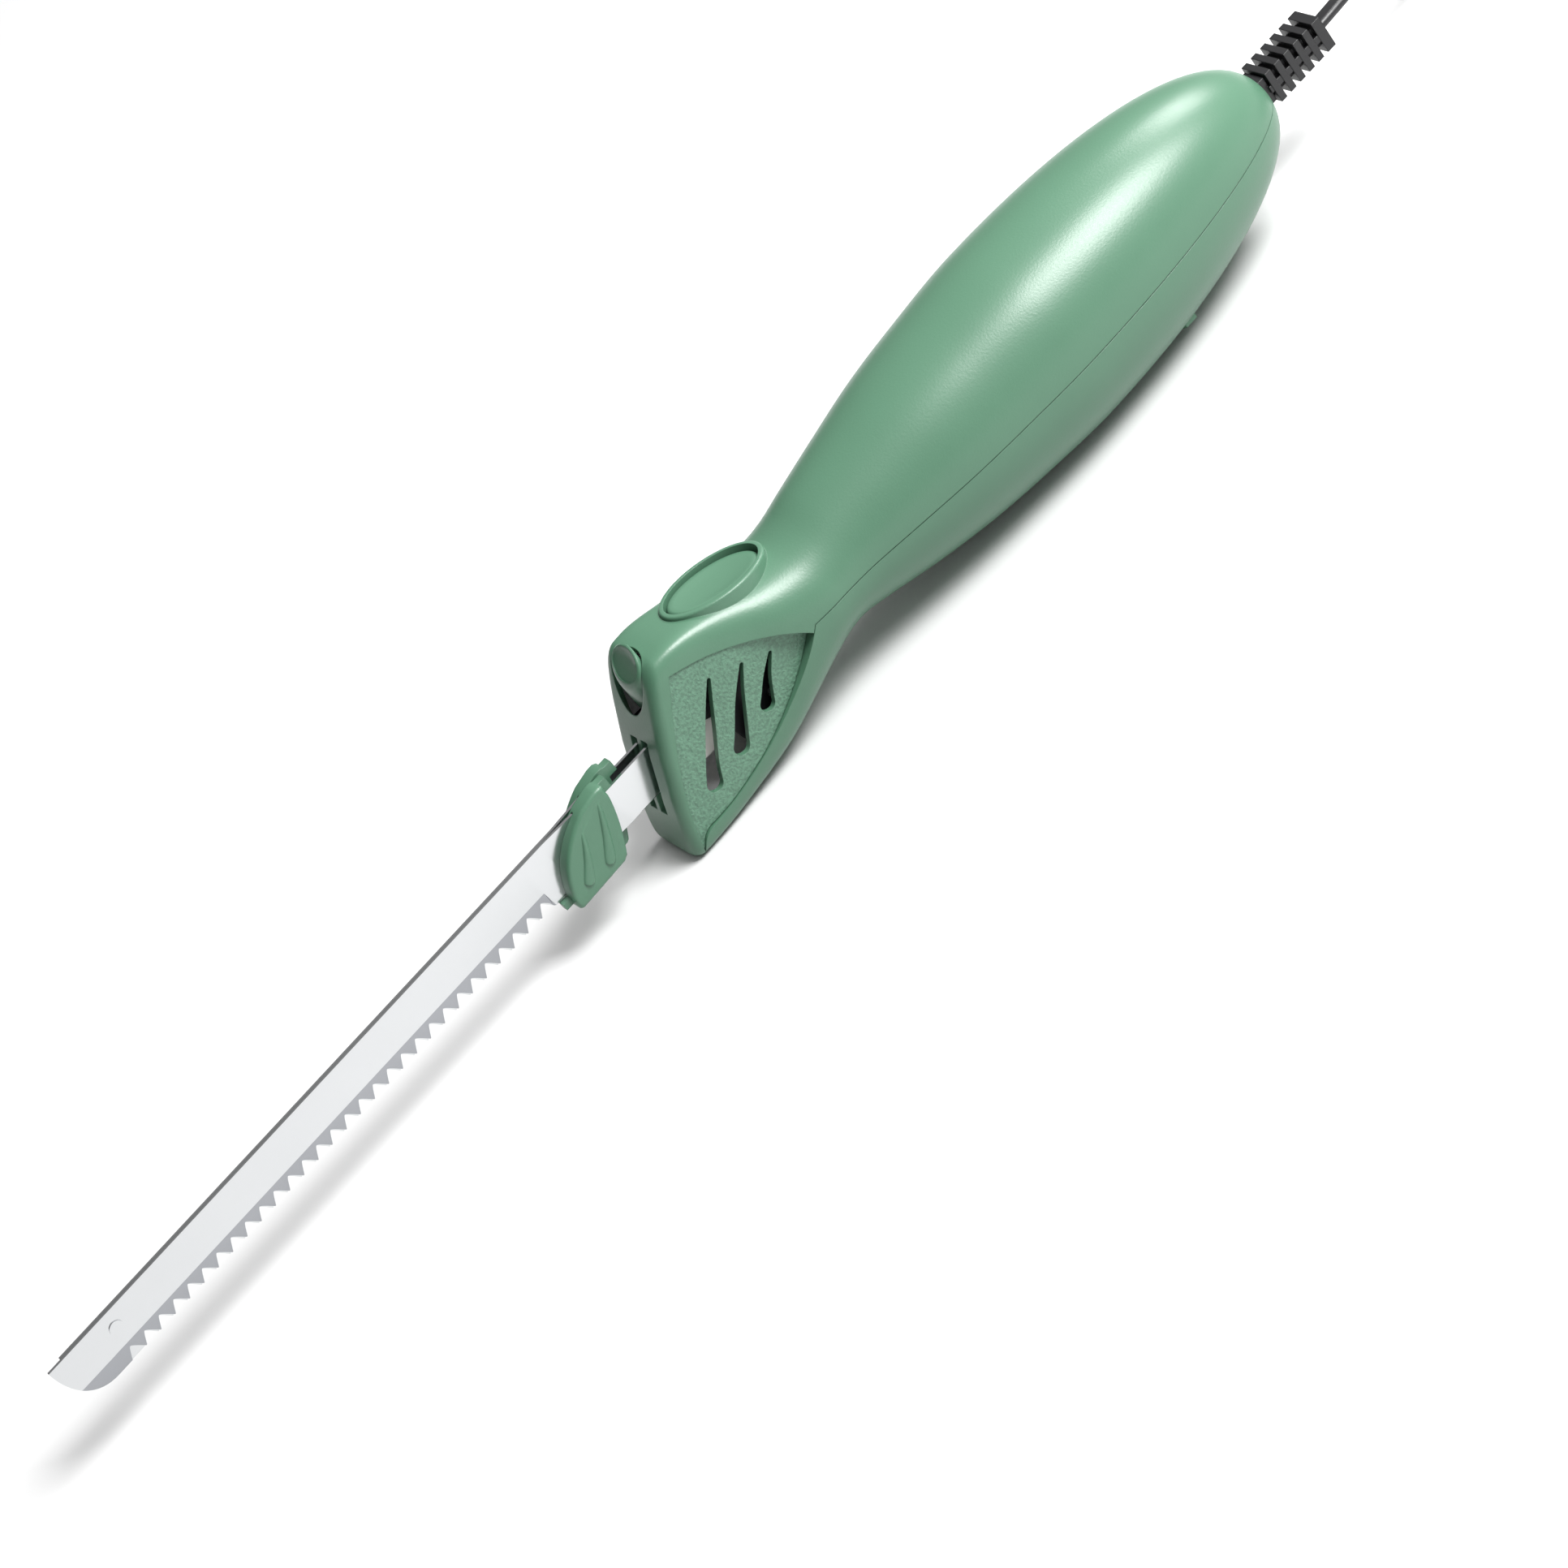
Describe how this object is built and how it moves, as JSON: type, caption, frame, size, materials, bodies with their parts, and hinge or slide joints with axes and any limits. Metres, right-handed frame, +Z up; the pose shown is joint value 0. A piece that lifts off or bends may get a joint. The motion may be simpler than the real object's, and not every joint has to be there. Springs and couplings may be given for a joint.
{
  "type": "electric carving knife",
  "caption": "Corded electric knife: round grip, raked head with slanted vents, run button, release plunger and a pair of serrated reciprocating blades with guard halves.",
  "frame": {"origin": "centre of the knife's box, cord left out, at the height of the surface it lies on", "axes": "+X from the cord end towards the blade tips, +Y to the left of a user looking along +X, +Z up, away from the cutting edges"},
  "size_m": [0.7035, 0.086, 0.062],
  "materials": {
    "green_shell": "satin moulded, fine spark texture on the head's side panels",
    "green_slider": "satin moulded",
    "stainless": "bright, lengthwise grain",
    "steel": "machined",
    "spring_steel": "drawn wire",
    "iron_core": "stacked laminations",
    "copper": "enamelled winding",
    "bronze": "sintered",
    "carbon": "matt carbon",
    "black_plastic": "moulded",
    "pom": "self-lubricating moulding",
    "black_pvc": "soft PVC, satin",
    "plated": "nickel plated"
  },
  "bodies": {
    "housing": {"upper_shell": "green_shell", "lower_shell": "green_shell", "switch_body": "black_plastic", "stator_core": "iron_core", "field_coils": "copper", "front_bearing": "bronze", "rear_bearing": "bronze", "front_motor_bracket": "steel", "rear_motor_bracket": "steel", "motor_screws": "plated", "brush_holders": "bronze", "carbon_brushes": "carbon", "gear_frame": "black_plastic", "gear_axle": "steel", "housing_screws": "plated", "cord_clamp": "black_plastic", "clamp_screws": "plated", "switch_leads": "black_pvc", "strain_relief": "black_pvc", "power_cord": "black_pvc", "cord_coil": "black_pvc", "plug_lead": "black_pvc", "plug_body": "black_pvc", "plug_pins": "plated"},
    "button": {"run_button": "green_shell", "button_spring": "spring_steel"},
    "plunger": {"release_plunger": "green_shell", "plunger_spring": "spring_steel"},
    "lock": {"lock_slider": "green_slider"},
    "motor": {"motor_shaft": "steel", "rotor_core": "iron_core", "rotor_windings": "copper", "commutator": "copper", "cooling_fan": "black_plastic", "worm": "steel"},
    "gear": {"worm_gear": "pom", "drive_cams": "steel"},
    "left_slide": {"left_drive_slide": "pom", "left_latch": "spring_steel"},
    "right_slide": {"right_drive_slide": "pom", "right_latch": "spring_steel"},
    "left_knife": {"left_blade": "stainless", "left_guard": "green_shell", "tip_rivet": "stainless"},
    "right_knife": {"right_blade": "stainless", "right_guard": "green_shell"}
  },
  "joints": [
    {"name": "button_press", "type": "slide", "parent": "housing", "child": "button", "axis": [0.1736, 0, -0.9848], "range_m": [0, 0.003], "stiffness_N_per_m": 900, "springref_m": -0.002, "deforming": ["button_spring"]},
    {"name": "plunger_press", "type": "slide", "parent": "housing", "child": "plunger", "axis": [0, 0, -1], "range_m": [0, 0.004], "stiffness_N_per_m": 700, "springref_m": -0.002, "deforming": ["plunger_spring"]},
    {"name": "lock_slide", "type": "slide", "parent": "housing", "child": "lock", "axis": [1, 0, 0], "range_m": [0, 0.006]},
    {"name": "motor_spin", "type": "hinge", "parent": "housing", "child": "motor", "pos_m": [-0.01, 0, 0.031], "axis": [1, 0, 0], "continuous": true},
    {"name": "gear_spin", "type": "hinge", "parent": "housing", "child": "gear", "pos_m": [-0.01, 0, 0.01875], "axis": [0, 1, 0], "continuous": true},
    {"name": "left_drive", "type": "slide", "parent": "housing", "child": "left_slide", "axis": [1, 0, 0], "range_m": [-0.0048, 0]},
    {"name": "right_drive", "type": "slide", "parent": "housing", "child": "right_slide", "axis": [1, 0, 0], "range_m": [0, 0.0048]},
    {"name": "left_blade_release", "type": "slide", "parent": "left_slide", "child": "left_knife", "axis": [1, 0, 0], "range_m": [0, 0.05]},
    {"name": "right_blade_release", "type": "slide", "parent": "right_slide", "child": "right_knife", "axis": [1, 0, 0], "range_m": [0, 0.05]}
  ],
  "couplings": [
    {"joint": "gear_spin", "follows": "motor_spin", "ratio": -0.041667},
    {"joint": "right_drive", "follows": "left_drive", "ratio": -1},
    {"joint": "right_blade_release", "follows": "left_blade_release", "ratio": 1}
  ]
}
